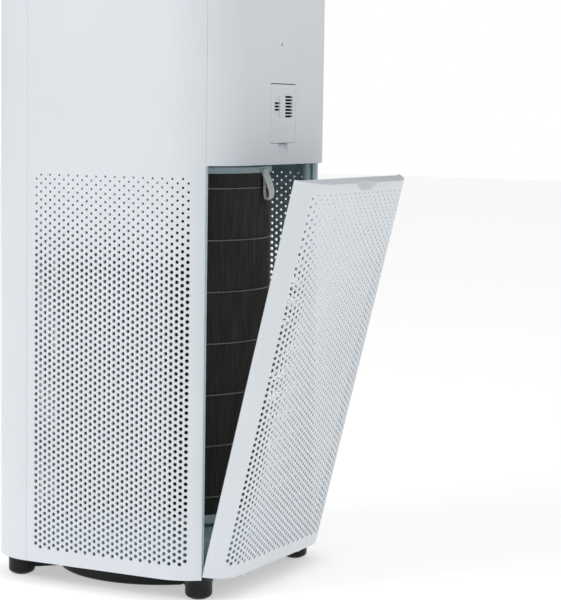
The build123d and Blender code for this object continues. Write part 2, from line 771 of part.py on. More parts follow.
with BuildPart() as duct_screws:
    with BuildSketch(Plane.XY.offset(deck_bottom + 0.5)):
        with PolarLocations(duct_screw_circle, 6, start_angle=duct_screw_angle):
            Circle(1.4)
    extrude(amount=deck_top + 3.0 - deck_bottom - 0.5)
    with BuildSketch(Plane.XY.offset(deck_top + 3.0)):
        with PolarLocations(duct_screw_circle, 6, start_angle=duct_screw_angle):
            Circle(2.7)
    extrude(amount=1.8)
duct_screws.part.label = "duct_screws"
export_step(duct_screws.part, "parts/duct_screws.step")

# ------------------------------------------------------------------ electronics behind the shells
board_plane = Plane((-98, -98, 535), x_dir=(1, -1, 0), z_dir=(-1, -1, 0))
with BuildPart() as main_board:
    with BuildSketch(board_plane):
        Rectangle(64, 130)
    extrude(amount=1.6)
    with BuildSketch(board_plane.offset(1.6)):
        with Locations((-14, 30), (12, 38)):
            Rectangle(14, 14)
        with Locations((-6, -10)):
            Rectangle(30, 20)
        with Locations((4, -48)):
            Rectangle(40, 8)
    extrude(amount=5.0)
main_board.part.label = "main_board"
export_step(main_board.part, "parts/main_board.step")

sensor_middle_z = 476.0
with BuildPart() as particle_sensor:
    with BuildSketch(Plane.XZ.offset(-112.0)):
        with Locations((0, sensor_middle_z)):
            RectangleRounded(46, 40, 2.0)
    extrude(amount=-17.0)
    # air ports towards the slots of the cover
    with BuildSketch(Plane.XZ.offset(-129.5)):
        with Locations((-11, sensor_middle_z + 8)):
            Rectangle(20, 24)
        with Locations((13, sensor_middle_z + 8)):
            Rectangle(15, 13)
    extrude(amount=8.0, mode=Mode.SUBTRACT)
particle_sensor.part.label = "particle_sensor"
export_step(particle_sensor.part, "parts/particle_sensor.step")

with BuildPart() as humidity_sensor:
    with BuildSketch(Plane.XZ.offset(-128.0)):
        with Locations((sensor_port_x, sensor_port_z)):
            Rectangle(14, 18)
    extrude(amount=-1.4)
    with BuildSketch(Plane.XZ.offset(-129.4)):
        with Locations((sensor_port_x, sensor_port_z)):
            Rectangle(5, 5)
    extrude(amount=-3.0)
humidity_sensor.part.label = "humidity_sensor"
export_step(humidity_sensor.part, "parts/humidity_sensor.step")

# ------------------------------------------------------------------ sensor cover
slot_height = 2.1
slot_pitch = 3.25
slot_middle_z = 484.0
full_slots = (-12.4, 16.4)          # centre and length of the column of seven open slots
short_slots = (13.0, 12.0)          # the other column, where only the middle three are open
with BuildPart() as sensor_cover:
    with BuildSketch(Plane.XZ.offset(-half)):
        with Locations((0, (cover_bottom + cover_top) / 2)):
            Rectangle(2 * cover_half_width, cover_top - cover_bottom)
        for row in range(-3, 4):
            with Locations((full_slots[0], slot_middle_z + row * slot_pitch)):
                Rectangle(full_slots[1], slot_height, mode=Mode.SUBTRACT)
        for row in range(-1, 2):
            with Locations((short_slots[0], slot_middle_z + row * slot_pitch)):
                Rectangle(short_slots[1], slot_height, mode=Mode.SUBTRACT)
    extrude(amount=wall - 0.4)
    # blind grooves above and below the short column
    with BuildSketch(Plane.XZ.offset(-half)):
        for row in (-3, -2, 2, 3):
            with Locations((short_slots[0], slot_middle_z + row * slot_pitch)):
                Rectangle(short_slots[1], slot_height)
    extrude(amount=0.7, mode=Mode.SUBTRACT)
    # raised bar for the thumb
    with BuildSketch(Plane.XZ.offset(-half - 0.6)):
        with Locations((-4.7, 462.7)):
            Rectangle(19.0, 1.5)
    extrude(amount=1.0)
    # hinge stubs
    with BuildSketch(Plane.YZ.offset(-cover_half_width - 1.6)):
        with Locations((cover_hinge_y, cover_hinge_z)):
            Circle(0.9)
    extrude(amount=2 * (cover_half_width + 1.6))
sensor_cover.part.label = "sensor_cover"
export_step(sensor_cover.part, "parts/sensor_cover.step")

# ------------------------------------------------------------------ rear door and its hinge
magnet_x = 70.0
magnet_top = 421.0
lid_thickness = 2.5
lid_inner_y = 119.5         # straight inner edge of the lid
# dished finger recess in the middle of the door's top edge, part of a large sphere
recess_half_width = 27.0
recess_depth = 6.0
recess_drop = 8.0
recess_out = (recess_half_width ** 2 - recess_depth ** 2) / (2 * recess_depth)
recess_up = (recess_half_width ** 2 - recess_drop ** 2) / (2 * recess_drop)
recess_radius = sqrt(recess_half_width ** 2 + recess_out ** 2 + recess_up ** 2)
rib_plan = band_outline(seam_angle + 6.0, 6.5, 1)
with BuildPart() as rear_door:
    with BuildSketch(on_door(Plane.XY.offset(door_bottom))):
        add(rear_plan)
    extrude(amount=door_top - door_bottom)
    # lid that closes the top, and a stiffening rib near the bottom
    with BuildSketch(on_door(Plane.XY.offset(door_top - lid_thickness))):
        square_outline(half)
        with Locations((0, lid_inner_y - half)):
            Rectangle(2 * half, 2 * half, mode=Mode.SUBTRACT)
    extrude(amount=lid_thickness)
    with BuildSketch(on_door(Plane.XY.offset(30.0))):
        add(rib_plan)
    extrude(amount=2.5)
    # pad behind the finger recess, then the recess
    with BuildSketch(on_door(Plane.XY.offset(door_top - 11))):
        with Locations((0, inner_half - 2.4)):
            Rectangle(60, 7.0)
    extrude(amount=10)
    with Locations(door_pose * Pos(0, half + recess_out, door_top + recess_up)):
        Sphere(recess_radius, mode=Mode.SUBTRACT)
    # hooks that hang on the hinge pins, open downwards
    for hook_x in (hinge_x, -hinge_x):
        with BuildSketch(on_door(Plane.YZ.offset(hook_x - 4.0))):
            with BuildLine():
                Polyline(
                    (inner_half + 1.0, 24.5),
                    (inner_half + 1.0, 40.0),
                    (131.0, 40.0),
                    (125.4, 24.5),
                    (125.4, pivot_z - 2.6),
                    (132.6, pivot_z - 2.6),
                    (132.6, 24.5),
                    close=True,
                )
            make_face()
            with Locations((pivot_y, pivot_z)):
                Circle(hinge_pin_radius + running_gap, mode=Mode.SUBTRACT)
            with Locations((pivot_y, pivot_z - 3)):
                Rectangle(2 * (hinge_pin_radius + running_gap), 6, mode=Mode.SUBTRACT)
        extrude(amount=8.0)
rear_door.part.label = "rear_door"
export_step(rear_door.part, "parts/rear_door.step")

for pin_name, pin_x in (("right", hinge_x), ("left", -hinge_x)):
    with BuildPart() as hinge_pin:
        with BuildSketch(Plane.YZ.offset(pin_x - hinge_ear_outer)):
            with Locations((pivot_y, pivot_z)):
                Circle(hinge_pin_radius)
        extrude(amount=2 * hinge_ear_outer)
    hinge_pin.part.label = f"hinge_pin_{pin_name}"
    export_step(hinge_pin.part, f"parts/hinge_pin_{pin_name}.step")

with BuildPart() as door_magnets:
    with BuildSketch(on_door(Plane.XY.offset(magnet_top - 3.5))):
        with Locations((-magnet_x, 130.0), (magnet_x, 130.0)):
            Rectangle(12, 5)
    extrude(amount=door_top - lid_thickness - magnet_top + 3.5)
door_magnets.part.label = "door_magnets"
export_step(door_magnets.part, "parts/door_magnets.step")

with BuildPart() as catch_plates:
    with BuildSketch(Plane.XY.offset(deck_bottom - 1.2)):
        with Locations((-magnet_x, 129.5), (magnet_x, 129.5)):
            Rectangle(16, 6)
    extrude(amount=1.2)
catch_plates.part.label = "catch_plates"
export_step(catch_plates.part, "parts/catch_plates.step")

with BuildPart() as door_switch:
    with BuildSketch(Plane.XY.offset(deck_bottom - 4.0)):
        with Locations((-94.0, 112.0)):
            Rectangle(14, 5)
    extrude(amount=4.0)
door_switch.part.label = "door_switch"
export_step(door_switch.part, "parts/door_switch.step")
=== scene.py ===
"""Looks of the tower air purifier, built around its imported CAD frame.

Metres, +Z up. The front faces -Y and the rear door +Y; the tower stands on z = 0. The perforated
panels, the pleated filter and its ribbon are meshes made here; the other CAD nodes stay and get
their materials here.
"""
import bpy
import json
from math import atan2, cos, pi, radians, sin, sqrt
from mathutils import Matrix, Vector


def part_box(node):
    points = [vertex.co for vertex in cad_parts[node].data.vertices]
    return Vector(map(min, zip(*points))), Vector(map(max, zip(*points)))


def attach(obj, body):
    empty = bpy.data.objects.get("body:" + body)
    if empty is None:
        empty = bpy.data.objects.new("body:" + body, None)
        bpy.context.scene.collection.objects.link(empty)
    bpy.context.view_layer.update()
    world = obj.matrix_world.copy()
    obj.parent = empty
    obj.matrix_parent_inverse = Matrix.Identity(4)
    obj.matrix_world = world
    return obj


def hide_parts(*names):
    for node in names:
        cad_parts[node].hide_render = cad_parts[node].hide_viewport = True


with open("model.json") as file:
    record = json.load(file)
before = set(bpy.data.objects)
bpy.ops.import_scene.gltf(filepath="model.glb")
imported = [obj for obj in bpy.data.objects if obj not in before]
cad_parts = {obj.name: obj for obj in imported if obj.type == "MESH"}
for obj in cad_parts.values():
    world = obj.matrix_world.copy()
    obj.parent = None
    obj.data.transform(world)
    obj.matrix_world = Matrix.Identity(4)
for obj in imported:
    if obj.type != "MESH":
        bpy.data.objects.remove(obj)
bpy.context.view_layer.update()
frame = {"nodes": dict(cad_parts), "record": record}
MM = 0.001

# ------------------------------------------------------------------ sizes, from the frame
side_low, side_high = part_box("side_panel_right")
half = side_high.x                      # half of the tower's width
corner_radius = 60 * MM
corner = half - corner_radius           # distance of the corner centres from the middle
wall = 2.6 * MM
door_field = 1.2 * MM                   # thickness of the door's perforated field, inside its rim
shell_bottom = side_low.z
shell_top = side_high.z
seam_angle = radians(42.0)              # where the side panels end, round the rear corners
seam_half_turn = radians(0.15)          # half of the seam at the rear corners
seam_half_gap = 0.05 * MM               # half of the fine seam at the front corners
side_overrun = radians(0.08)            # the side panels run on a little, for a fine seam
edge_round = 0.3 * MM

# the door is drawn closed, then turned open about its hinge, as in the frame
door_tilt = radians(13.6)
hinge_low, hinge_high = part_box("hinge_pin_right")
pivot = Vector((0.0, (hinge_low.y + hinge_high.y) / 2, (hinge_low.z + hinge_high.z) / 2))
door_bottom = 22.5 * MM
door_top = 424.0 * MM
door_pose = Matrix.Translation(pivot) @ Matrix.Rotation(-door_tilt, 4, "X") @ Matrix.Translation(-pivot)

# hole grid, shared by all four perforated faces
hole_pitch = 5.351 * MM                 # between columns
row_pitch = 6.345 * MM                  # between the rows of a column, once they are even
row_count = 58                          # in the long columns; the short ones between have one fewer
top_row = 413.4 * MM
top_rows = 12                           # rows at the top that spread out and shrink
row_growth = 0.175 * MM                 # how much each of those rows adds to the pitch
top_margin = 1.8 * MM                   # above the first row's middles, below the door's recess
small_hole = 1.15 * MM                  # radius of the first row's holes
full_hole = 1.95 * MM
hole_segments = 14

# ------------------------------------------------------------------ mesh helpers
def outward(vertices, faces):
    """The faces of a closed shape, all turned to face out."""
    volume = 0.0
    for face in faces:
        first = Vector(vertices[face[0]])
        for b, c in zip(face[1:], face[2:]):
            volume += first.dot(Vector(vertices[b]).cross(Vector(vertices[c])))
    return faces if volume > 0 else [tuple(reversed(face)) for face in faces]


def join(shapes):
    """One set of vertices, faces and face materials from several (vertices, faces, materials)."""
    vertices, faces, materials = [], [], []
    for shape_vertices, shape_faces, shape_materials in shapes:
        start = len(vertices)
        vertices += shape_vertices
        faces += [tuple(i + start for i in face) for face in outward(shape_vertices, shape_faces)]
        materials += shape_materials if shape_materials else [0] * len(shape_faces)
    return vertices, faces, materials


def make_object(name, shapes, body, materials, replaced=(), sharp=35):
    """A mesh piece that rides on a body, takes the materials given and may replace CAD nodes."""
    vertices, faces, face_materials = join(shapes)
    mesh = bpy.data.meshes.new(name)
    mesh.from_pydata(vertices, [], faces)
    piece = bpy.data.objects.new(name, mesh)
    bpy.context.scene.collection.objects.link(piece)
    for material in materials:
        mesh.materials.append(material)
    mesh.polygons.foreach_set("material_index", face_materials)
    mesh.polygons.foreach_set("use_smooth", [True] * len(mesh.polygons))
    mesh.update()
    mesh.set_sharp_from_angle(angle=radians(sharp))
    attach(piece, body)
    if replaced:
        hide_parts(*replaced)
    return piece


def side_place(u, depth):
    """Plan point under the tower's surface: u runs from the middle of the +X side to the rear."""
    sign = 1 if u >= 0 else -1
    run = abs(u)
    if run <= corner:
        return (half - depth, u)
    angle = (run - corner) / corner_radius
    if angle <= pi / 2:
        radius = corner_radius - depth
        return (corner + radius * cos(angle), sign * (corner + radius * sin(angle)))
    return (corner - (run - corner - corner_radius * pi / 2), sign * (half - depth))


def right_place(u, z, depth):
    x, y = side_place(u, depth)
    return (x, y, z)


def left_place(u, z, depth):
    x, y = side_place(u, depth)
    return (-x, y, z)


def front_place(u, z, depth):
    outward, along = side_place(u, depth)
    return (along, -outward, z)


def rear_place(u, z, depth):
    outward, along = side_place(u, depth)
    return (along, outward, z)


def door_place(u, z, depth):
    return tuple(door_pose @ Vector(rear_place(u, z, depth)))


def hole_rows():
    """Heights of a long column's holes, from the top one down."""
    heights = [top_row]
    for row in range(row_count - 1):
        heights.append(heights[-1] - row_pitch - max(0, top_rows - row) * row_growth)
    return heights


long_rows = hole_rows()
short_rows = [(high + low) / 2 for high, low in zip(long_rows, long_rows[1:])]


def column_holes(is_long):
    """Heights and radii of one column's holes, from the lowest up."""
    rows = long_rows if is_long else short_rows
    radii = [small_hole + (full_hole - small_hole) * min(1.0, row / top_rows) for row in range(len(rows))]
    return list(zip(rows, radii))[::-1]


def hole_columns(first, count, starts_long):
    """Columns of the hole grid: left side, right side and holes of each."""
    columns = []
    for index in range(count):
        middle = first + index * hole_pitch
        is_long = (index % 2 == 0) == starts_long
        columns.append((middle - hole_pitch / 2, middle + hole_pitch / 2, column_holes(is_long)))
    return columns


def plain_columns(left, right, step):
    """Columns without holes that fill a span, no wider than step."""
    count = max(1, round((right - left) / step))
    edges = [left + (right - left) * index / count for index in range(count + 1)]
    return [(a, b, []) for a, b in zip(edges, edges[1:])]


def bridge(polygon, ring, points):
    """Triangles between a polygon and a ring inside it, both counter-clockwise indices into points."""
    centre_u = sum(points[i][0] for i in ring) / len(ring)
    centre_z = sum(points[i][1] for i in ring) / len(ring)

    def bearing(index):
        u, z = points[index]
        return atan2(z - centre_z, u - centre_u)

    start = bearing(polygon[0])
    outer = [(bearing(i) - start) % (2 * pi) for i in polygon]
    shift = min(range(len(ring)), key=lambda k: (bearing(ring[k]) - start) % (2 * pi))
    ring = ring[shift:] + ring[:shift]
    inner = [(bearing(i) - start) % (2 * pi) for i in ring]
    outer.append(2 * pi)
    inner.append(inner[0] + 2 * pi)
    triangles = []
    a = b = 0
    while a < len(polygon) or b < len(ring):
        # the side whose next edge has its middle nearer goes first, so that no triangle crosses the ring
        if b >= len(ring) or (a < len(polygon) and outer[a] + outer[a + 1] <= inner[b] + inner[b + 1]):
            triangles.append((polygon[a], polygon[(a + 1) % len(polygon)], ring[b % len(ring)]))
            a += 1
        else:
            triangles.append((polygon[a % len(polygon)], ring[(b + 1) % len(ring)], ring[b]))
            b += 1
    return triangles


def perforated_panel(place, columns, low, high, window=None, drop=None, field=wall):
    """Vertices, faces and face materials of a shell panel with round holes.

    columns run from left to right over the panel's surface. window is a round opening in columns
    without holes: (left, right, low, high, radius) of the field around it, whose middle it takes.
    drop gives how far the top edge is lowered at each place along it, and field is the thickness
    inside the rim.
    Material 0 is the outside, 1 the inside, where the white plastic is painted darker and teal as shade.
    """
    lines = [columns[0][0] + edge_round] + [c[1] for c in columns[:-1]] + [columns[-1][1] - edge_round]
    low += edge_round
    high -= edge_round
    breaks = []
    for left, right, holes in columns:
        cuts = [low, high]
        if holes:
            middles = [(a[0] + b[0]) / 2 for a, b in zip(holes, holes[1:])]
            gap_low = middles[0] - holes[0][0]
            gap_high = min(holes[-1][0] - middles[-1], top_margin)
            cuts += [holes[0][0] - gap_low] + middles + [holes[-1][0] + gap_high]
        if window and window[0] - MM / 10 <= left and right <= window[1] + MM / 10:
            cuts += [window[2], window[3]]
        breaks.append(sorted(set(round(z, 7) for z in cuts)))

    points = []
    line_ids = []
    for k, u in enumerate(lines):
        heights = set(breaks[max(k - 1, 0)]) | set(breaks[min(k, len(breaks) - 1)])
        ids = {}
        for z in sorted(heights):
            ids[z] = len(points)
            points.append((u, z - drop(u) if drop and z == round(high, 7) else z))
        line_ids.append(ids)

    def between(k, bottom, top):
        """The points of line k from one height to another."""
        return [line_ids[k][z] for z in line_ids[k] if bottom <= z <= top]

    def ring_at(u, z, radius, segments):
        ids = []
        for step in range(segments):
            turn = 2 * pi * (step + 0.5) / segments
            ids.append(len(points))
            points.append((u + radius * cos(turn), z + radius * sin(turn)))
        return ids

    skin = []
    rings = []
    for k, (left, right, holes) in enumerate(columns):
        cuts = breaks[k]
        for bottom, top in zip(cuts, cuts[1:]):
            in_window = window and bottom == round(window[2], 7) and top == round(window[3], 7)
            if in_window:
                continue
            polygon = between(k + 1, bottom, top)
            polygon = between(k, bottom, top)[:1] + polygon + between(k, bottom, top)[:0:-1]
            inside = [hole for hole in holes if bottom < hole[0] < top]
            if inside:
                ring = ring_at((left + right) / 2, inside[0][0], inside[0][1], hole_segments)
                skin += bridge(polygon, ring, points)
                rings.append(ring)
            else:
                skin.append(tuple(polygon))
    if window:
        bottom, top = round(window[2], 7), round(window[3], 7)
        inside = [k for k, u in enumerate(lines) if window[0] - MM / 10 <= u <= window[1] + MM / 10]
        polygon = [line_ids[k][bottom] for k in inside] + between(inside[-1], bottom, top)[1:]
        polygon += [line_ids[k][top] for k in inside[-2::-1]] + between(inside[0], bottom, top)[-2:0:-1]
        ring = ring_at((window[0] + window[1]) / 2, (bottom + top) / 2, window[4], 96)
        skin += bridge(polygon, ring, points)
        rings.append(ring)

    # the rim: out over a rounded edge, back through the thickness and in again
    first, last = line_ids[0], line_ids[-1]
    rim = [(ids[min(ids)], 0, -1) for ids in line_ids]
    rim += [(last[z], 1, 0) for z in sorted(last)[1:]]
    rim += [(ids[max(ids)], 0, 1) for ids in line_ids[-2::-1]]
    rim += [(first[z], -1, 0) for z in sorted(first, reverse=True)[1:-1]]
    corners = {first[min(first)]: (-1, -1), last[min(last)]: (1, -1)}
    corners.update({last[max(last)]: (1, 1), first[max(first)]: (-1, 1)})
    rim = [(i,) + corners.get(i, (du, dz)) for i, du, dz in rim]

    count = len(points)
    on_rim = {i for i, _, _ in rim}
    vertices = [place(u, z, 0.0) for u, z in points]
    vertices += [place(u, z, wall if i in on_rim else field) for i, (u, z) in enumerate(points)]
    faces = list(skin)
    materials = [0] * len(skin)
    for face in skin:
        faces.append(tuple(i + count for i in reversed(face)))
    materials += [1] * len(skin)
    for ring in rings:
        for a, b in zip(ring, ring[1:] + ring[:1]):
            faces.append((b, a, a + count, b + count))
            materials.append(0)
    profile = [(edge_round * sin(t), edge_round * (1 - cos(t))) for t in (pi / 6, pi / 3, pi / 2)]
    profile.append((edge_round, wall - edge_round))
    loops = [[i for i, _, _ in rim]]
    for out, depth in profile:
        start = len(vertices)
        vertices += [place(points[i][0] + du * out, points[i][1] + dz * out, depth) for i, du, dz in rim]
        loops.append(list(range(start, start + len(rim))))
    loops.append([i + count for i in loops[0]])
    # the strip round the inner edge takes the inside material, with its painted shade
    for number, (near, far) in enumerate(zip(loops, loops[1:])):
        for a in range(len(near)):
            b = (a + 1) % len(near)
            faces.append((near[b], near[a], far[a], far[b]))
            materials.append(1 if number > 3 else 0)
    return vertices, faces, materials


def band(place, left, right, step, profile):
    """A closed strip along the tower's surface: profile is its section as (depth, height) points."""
    count = max(1, round((right - left) / step))
    stations = [left + (right - left) * k / count for k in range(count + 1)]
    size = len(profile)
    vertices = [place(u, z, depth) for u in stations for depth, z in profile]
    faces = [tuple(range(size - 1, -1, -1)), tuple(range(count * size, (count + 1) * size))]
    for k in range(count):
        for a in range(size):
            b = (a + 1) % size
            faces.append((k * size + a, k * size + b, (k + 1) * size + b, (k + 1) * size + a))
    return vertices, faces, None


def drum_ring(outline, low, high, inner):
    """A closed ring round the tower's axis, from an outer outline of (x, y) points to a radius."""
    size = len(outline)
    turns = [atan2(y, x) for x, y in outline]
    core = [(inner * cos(turn), inner * sin(turn)) for turn in turns]
    vertices = [(x, y, z) for loop, z in ((outline, low), (outline, high), (core, high), (core, low))
                for x, y in loop]
    faces = []
    for loop in range(4):
        near, far = loop * size, (loop + 1) % 4 * size
        for a in range(size):
            b = (a + 1) % size
            faces.append((near + a, near + b, far + b, far + a))
    return vertices, faces, None


def prism(outline, place):
    """A closed prism: outline is a list of 2-D points, place(a, b, side) puts them at each end."""
    size = len(outline)
    vertices = [place(a, b, side) for side in (0, 1) for a, b in outline]
    faces = [tuple(range(size - 1, -1, -1)), tuple(range(size, 2 * size))]
    for a in range(size):
        b = (a + 1) % size
        faces.append((a, b, size + b, size + a))
    return vertices, faces, None


def block(columns, rows, near, far):
    """A closed block over a grid: near(x, z) and far(x, z) give the points of its two sides."""
    across = len(columns)
    up = len(rows)
    size = across * up
    vertices = [side(x, z) for side in (near, far) for z in rows for x in columns]
    faces = []
    for row in range(up - 1):
        for k in range(across - 1):
            a = row * across + k
            faces.append((a, a + 1, a + across + 1, a + across))
            faces.append((size + a + across, size + a + across + 1, size + a + 1, size + a))
    edge = list(range(across)) + [row * across + across - 1 for row in range(1, up)]
    edge += [size - 1 - k for k in range(1, across)] + [row * across for row in range(up - 2, 0, -1)]
    for a, b in zip(edge, edge[1:] + edge[:1]):
        faces.append((b, a, a + size, b + size))
    return vertices, faces, None


# ------------------------------------------------------------------ materials
def new_material(name, color, roughness, metallic=0.0, specular=0.5, coat=0.0, sheen=0.0):
    """A material with its shader's plain values set; returns it with its node tree and shader."""
    material = bpy.data.materials.new(name)
    material.use_nodes = True
    shader = material.node_tree.nodes["Principled BSDF"]
    shader.inputs["Base Color"].default_value = (*color, 1.0)
    shader.inputs["Roughness"].default_value = roughness
    shader.inputs["Metallic"].default_value = metallic
    shader.inputs["Specular IOR Level"].default_value = specular
    shader.inputs["Coat Weight"].default_value = coat
    shader.inputs["Sheen Weight"].default_value = sheen
    return material, material.node_tree, shader


def noise(tree, scale, detail=3.0, stretch=(1.0, 1.0, 1.0)):
    """A noise texture in the piece's own metres; scale is features per metre."""
    coordinates = tree.nodes.new("ShaderNodeTexCoord")
    mapping = tree.nodes.new("ShaderNodeMapping")
    mapping.inputs["Scale"].default_value = stretch
    texture = tree.nodes.new("ShaderNodeTexNoise")
    texture.inputs["Scale"].default_value = scale
    texture.inputs["Detail"].default_value = detail
    tree.links.new(coordinates.outputs["Object"], mapping.inputs["Vector"])
    tree.links.new(mapping.outputs["Vector"], texture.inputs["Vector"])
    return texture.outputs["Fac"]


def vary_color(tree, shader, factor, dark, light, low=0.35, high=0.65):
    """Drives the base colour from one colour to another by a texture."""
    ramp = tree.nodes.new("ShaderNodeValToRGB")
    ramp.color_ramp.elements[0].position = low
    ramp.color_ramp.elements[1].position = high
    ramp.color_ramp.elements[0].color = (*dark, 1.0)
    ramp.color_ramp.elements[1].color = (*light, 1.0)
    tree.links.new(factor, ramp.inputs["Fac"])
    tree.links.new(ramp.outputs["Color"], shader.inputs["Base Color"])


def vary_roughness(tree, shader, factor, low, high):
    """Drives the roughness between two values by a texture."""
    span = tree.nodes.new("ShaderNodeMapRange")
    span.inputs["From Min"].default_value = 0.3
    span.inputs["From Max"].default_value = 0.7
    span.inputs["To Min"].default_value = low
    span.inputs["To Max"].default_value = high
    tree.links.new(factor, span.inputs["Value"])
    tree.links.new(span.outputs["Result"], shader.inputs["Roughness"])


def bump(tree, shader, height, depth, strength=1.0):
    """Raises the surface by a texture; depth is the relief in metres."""
    node = tree.nodes.new("ShaderNodeBump")
    node.inputs["Strength"].default_value = strength
    node.inputs["Distance"].default_value = depth
    tree.links.new(height, node.inputs["Height"])
    tree.links.new(node.outputs["Normal"], shader.inputs["Normal"])


def moulded_plastic(name, color, roughness, mottle=0.015, grain=1600.0, relief=0.00003, specular=0.5):
    """Injection-moulded plastic: a fine eroded grain, a faint unevenness of colour and of gloss."""
    material, tree, shader = new_material(name, color, roughness, specular=specular)
    cloud = noise(tree, 9.0)
    dark = [c * (1.0 - mottle) for c in color]
    light = [min(1.0, c * (1.0 + mottle)) for c in color]
    vary_color(tree, shader, cloud, dark, light)
    vary_roughness(tree, shader, noise(tree, 60.0), roughness - 0.04, roughness + 0.04)
    bump(tree, shader, noise(tree, grain, 2.0), relief, 0.35)
    return material


def metal(name, color, roughness, stretch=(1.0, 1.0, 12.0)):
    """Machined or plated metal with fine directional marks."""
    material, tree, shader = new_material(name, color, roughness, metallic=1.0)
    marks = noise(tree, 900.0, 2.0, stretch)
    vary_roughness(tree, shader, marks, roughness - 0.08, roughness + 0.1)
    bump(tree, shader, marks, 0.00001, 0.3)
    return material


def pleated_paper():
    """Dark filter mesh with fine vertical fibres."""
    material, tree, shader = new_material("filter_paper_mesh", (0.075, 0.070, 0.066), 0.9, sheen=0.15)
    fibres = noise(tree, 500.0, 4.0, (1.0, 1.0, 0.05))
    vary_color(tree, shader, fibres, (0.055, 0.051, 0.048), (0.105, 0.098, 0.092))
    bump(tree, shader, noise(tree, 2500.0, 2.0), 0.00006, 0.5)
    return material


def woven_tape():
    """Pale ribbon with a fine weave in one direction."""
    material, tree, shader = new_material("woven_tape", (0.74, 0.73, 0.72), 0.85, sheen=0.3)
    weft = noise(tree, 2200.0, 1.0, (0.25, 1.0, 1.0))
    vary_color(tree, shader, weft, (0.62, 0.61, 0.60), (0.84, 0.83, 0.82))
    bump(tree, shader, weft, 0.0001, 0.5)
    return material


def circuit_board():
    """Green solder mask with slightly raised tracks."""
    material, tree, shader = new_material("circuit_board", (0.02, 0.16, 0.07), 0.35)
    tracks = noise(tree, 220.0, 0.0)
    vary_color(tree, shader, tracks, (0.012, 0.10, 0.045), (0.03, 0.20, 0.09), 0.48, 0.52)
    bump(tree, shader, tracks, 0.00004, 0.4)
    return material


def granules(name, color, size, relief, roughness=0.85):
    """Foam or granular filling: rounded cells of one size."""
    material, tree, shader = new_material(name, color, roughness)
    coordinates = tree.nodes.new("ShaderNodeTexCoord")
    cells = tree.nodes.new("ShaderNodeTexVoronoi")
    cells.inputs["Scale"].default_value = 1.0 / size
    tree.links.new(coordinates.outputs["Object"], cells.inputs["Vector"])
    vary_color(tree, shader, cells.outputs["Distance"], [c * 1.3 for c in color], [c * 0.6 for c in color])
    bump(tree, shader, cells.outputs["Distance"], relief, 0.6)
    return material


shell_outside = moulded_plastic("shell_white_plastic", (0.735, 0.775, 0.815), 0.42)
# the shells' inside: the same white plastic, painted darker and teal as the cool shade inside the tower
shell_inside_painted_shade = moulded_plastic("painted_shade_inside_plastic", (0.43, 0.57, 0.61), 0.5)
grille_plastic = moulded_plastic("grille_plastic", (0.70, 0.74, 0.78), 0.45)
button_plastic = moulded_plastic("button_plastic", (0.78, 0.81, 0.84), 0.35)
display_gloss = moulded_plastic("display_gloss_plastic", (0.012, 0.012, 0.014), 0.08, grain=400.0,
                                relief=0.000003)
base_plastic = moulded_plastic("base_black_plastic", (0.006, 0.007, 0.008), 0.4, relief=0.00002,
                               specular=0.25)
foot_rubber = moulded_plastic("foot_rubber_skin", (0.012, 0.012, 0.013), 0.7, relief=0.00006, specular=0.3)
chassis_plastic = moulded_plastic("chassis_teal_plastic", (0.46, 0.59, 0.62), 0.45)
cap_plastic = moulded_plastic("filter_cap_plastic", (0.47, 0.57, 0.59), 0.45)
fan_plastic = moulded_plastic("fan_grey_plastic", (0.10, 0.11, 0.12), 0.4)
sensor_plastic = moulded_plastic("sensor_black_plastic", (0.03, 0.03, 0.033), 0.5)
motor_metal = metal("motor_metal_can", (0.60, 0.61, 0.63), 0.35)
screw_steel = metal("zinc_steel", (0.58, 0.58, 0.60), 0.3)
magnet_nickel = metal("nickel_plate", (0.55, 0.54, 0.52), 0.22, (1.0, 1.0, 1.0))
paper = pleated_paper()
glue = moulded_plastic("filter_glue", (0.17, 0.165, 0.16), 0.5, mottle=0.1, grain=700.0, relief=0.00008)
tape = woven_tape()
board_green = circuit_board()
foam = granules("foam_cells", (0.05, 0.05, 0.05), 0.8 * MM, 0.2 * MM)
carbon = granules("carbon_granules", (0.015, 0.015, 0.015), 2.0 * MM, 0.8 * MM, 0.6)

slot_materials = {
    "shell_white": shell_outside,
    "grille_white": grille_plastic,
    "button_white": button_plastic,
    "display_black": display_gloss,
    "base_black": base_plastic,
    "foot_rubber": foot_rubber,
    "chassis_teal": chassis_plastic,
    "filter_cap_teal": cap_plastic,
    "filter_paper": paper,
    "filter_carbon": carbon,
    "foam": foam,
    "ribbon": tape,
    "fan_plastic": fan_plastic,
    "motor_metal": motor_metal,
    "screw_steel": screw_steel,
    "magnet": magnet_nickel,
    "board_green": board_green,
    "sensor_black": sensor_plastic,
}
for part in frame["record"]["subparts"]:
    node = frame["nodes"][part["node"]]
    for material_slot in node.material_slots:
        material_slot.material = slot_materials[part["material_slot"]]

# ------------------------------------------------------------------ perforated shells
panel_materials = [shell_outside, shell_inside_painted_shade]
arc_step = 2.5 * MM

side_start = -corner + seam_half_gap
side_end = corner + corner_radius * (seam_angle + side_overrun)
side_first = -66.3 * MM                 # first column of holes, from the middle of the side
side_count = 33
side_columns = hole_columns(side_first, side_count, False)
side_columns = plain_columns(side_start, side_columns[0][0], 4 * MM) + side_columns
side_columns += plain_columns(side_columns[-1][1], side_end, arc_step)
make_object("side_panel_right_skin", [perforated_panel(right_place, side_columns, shell_bottom, shell_top)],
            "tower", panel_materials, ["side_panel_right"])
make_object("side_panel_left_skin", [perforated_panel(left_place, side_columns, shell_bottom, shell_top)],
            "tower", panel_materials, ["side_panel_left"])

